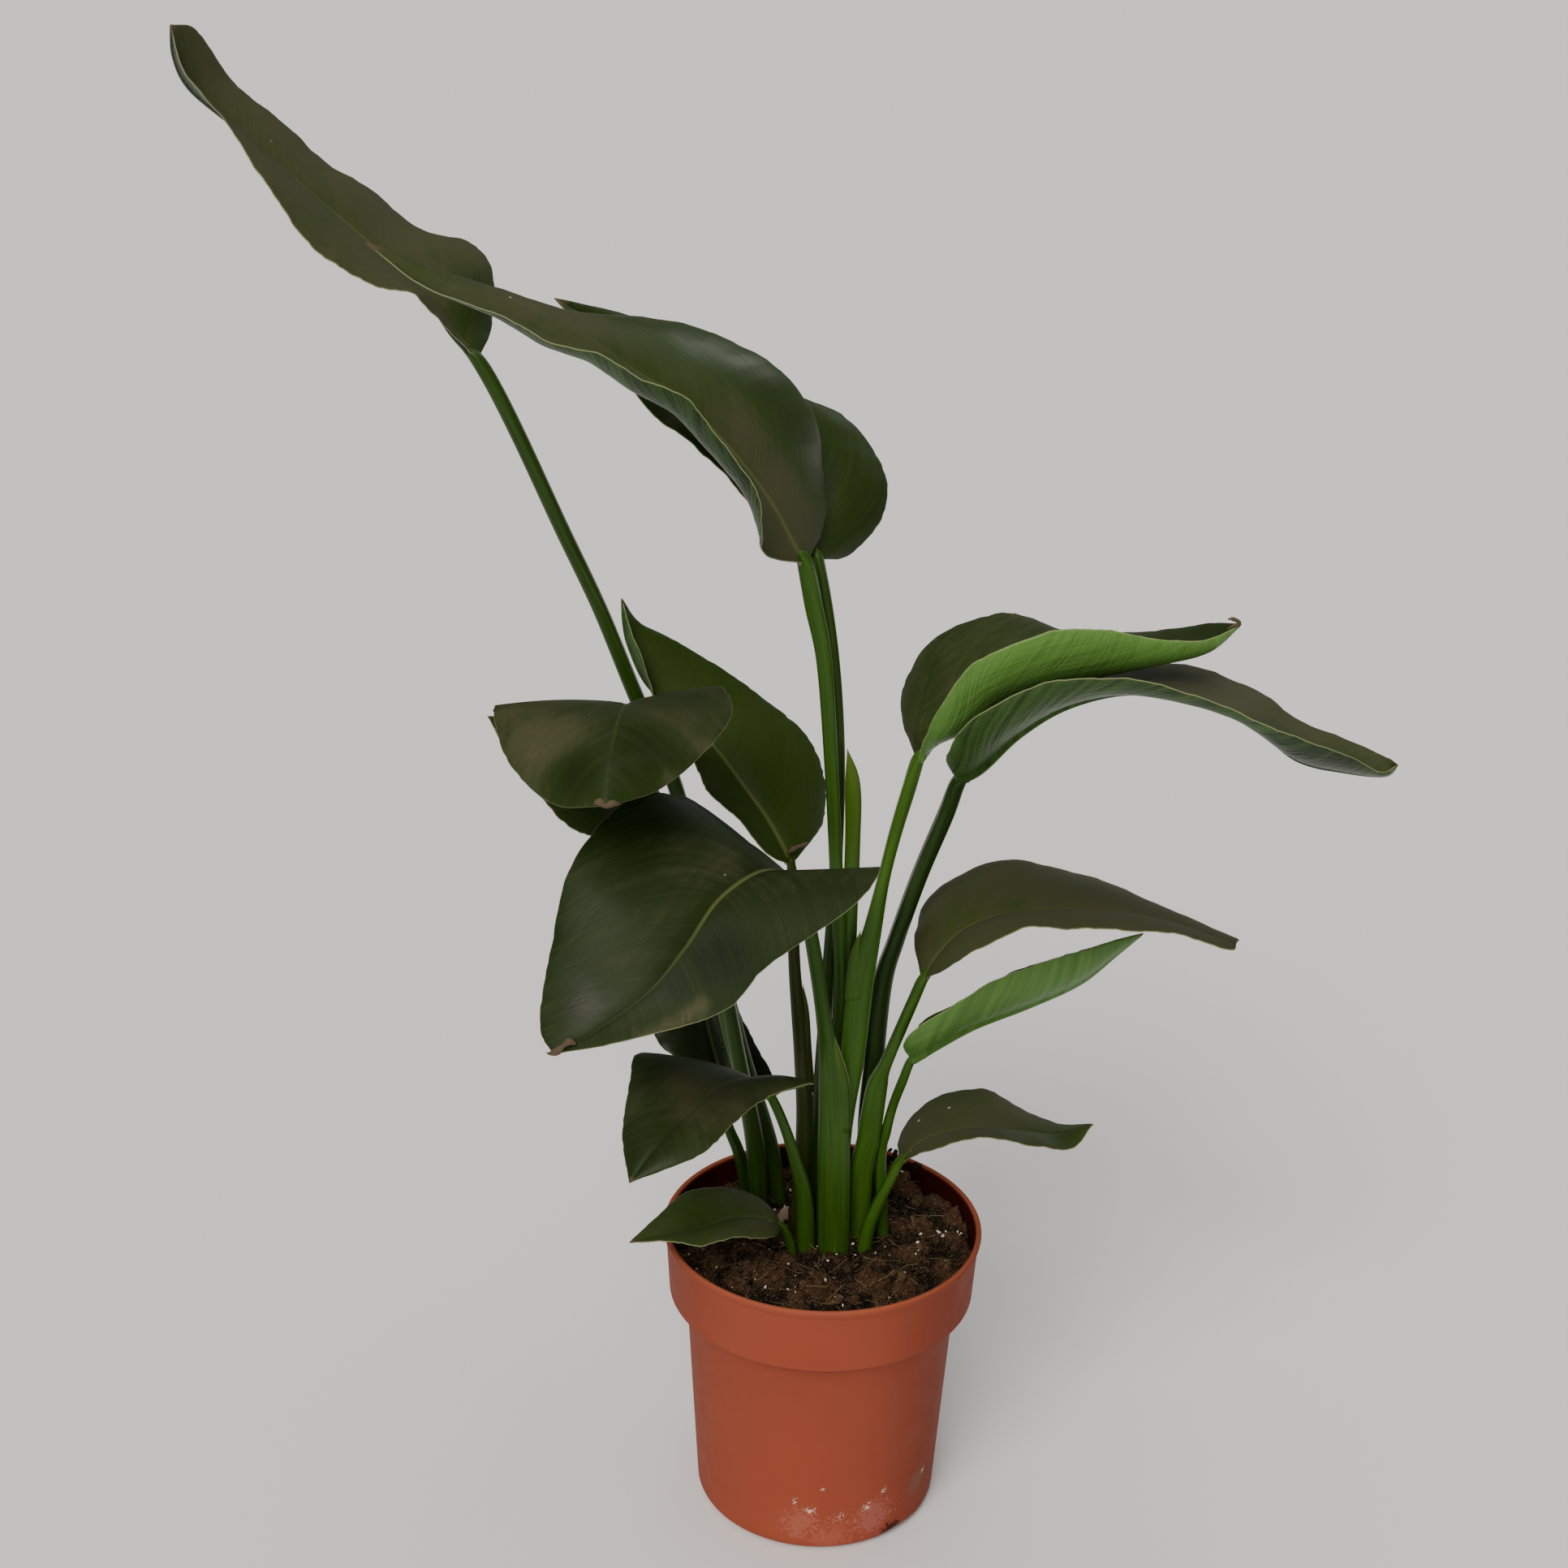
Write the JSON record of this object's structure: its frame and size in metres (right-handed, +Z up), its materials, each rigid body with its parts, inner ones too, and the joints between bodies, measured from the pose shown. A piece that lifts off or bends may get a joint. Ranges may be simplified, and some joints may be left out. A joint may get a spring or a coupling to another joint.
{
  "type": "potted plant",
  "caption": "Young bird of paradise plant with long paddle leaves on upright stalks, growing in a terracotta-coloured plastic nursery pot of soil.",
  "frame": {"origin": "centre of the pot's base, on the surface that the pot stands on", "axes": "+Z up, -Y towards the viewer of the picture, +X to the viewer's right"},
  "size_m": [0.5799, 0.2582, 0.767],
  "materials": {
    "pot": "satin terracotta-coloured polypropylene",
    "soil": "rough crumbly potting mix",
    "dusty_leaf": "satin leaf with a dusty bloom",
    "shaded_leaf": "satin dark green leaf",
    "young_leaf": "satin young bright green leaf",
    "dry_leaf": "dry papery remnant"
  },
  "bodies": {
    "root": {"pot": "pot", "soil": "soil", "leaf_tall_left": "dusty_leaf", "leaf_arching_front": "dusty_leaf", "leaf_arching_back": "dusty_leaf", "leaf_upper_mid": "dusty_leaf", "leaf_half_moon": "dusty_leaf", "leaf_behind_half_moon": "dusty_leaf", "leaf_big_front": "dusty_leaf", "leaf_low_back_left": "shaded_leaf", "leaf_low_front_left": "dusty_leaf", "leaf_lowest_left": "dusty_leaf", "leaf_folded_right": "dusty_leaf", "leaf_arched_right": "dusty_leaf", "leaf_mid_right": "dusty_leaf", "leaf_spear_right": "young_leaf", "leaf_low_right": "dusty_leaf", "dry_leaf_base": "dry_leaf"}
  },
  "joints": []
}
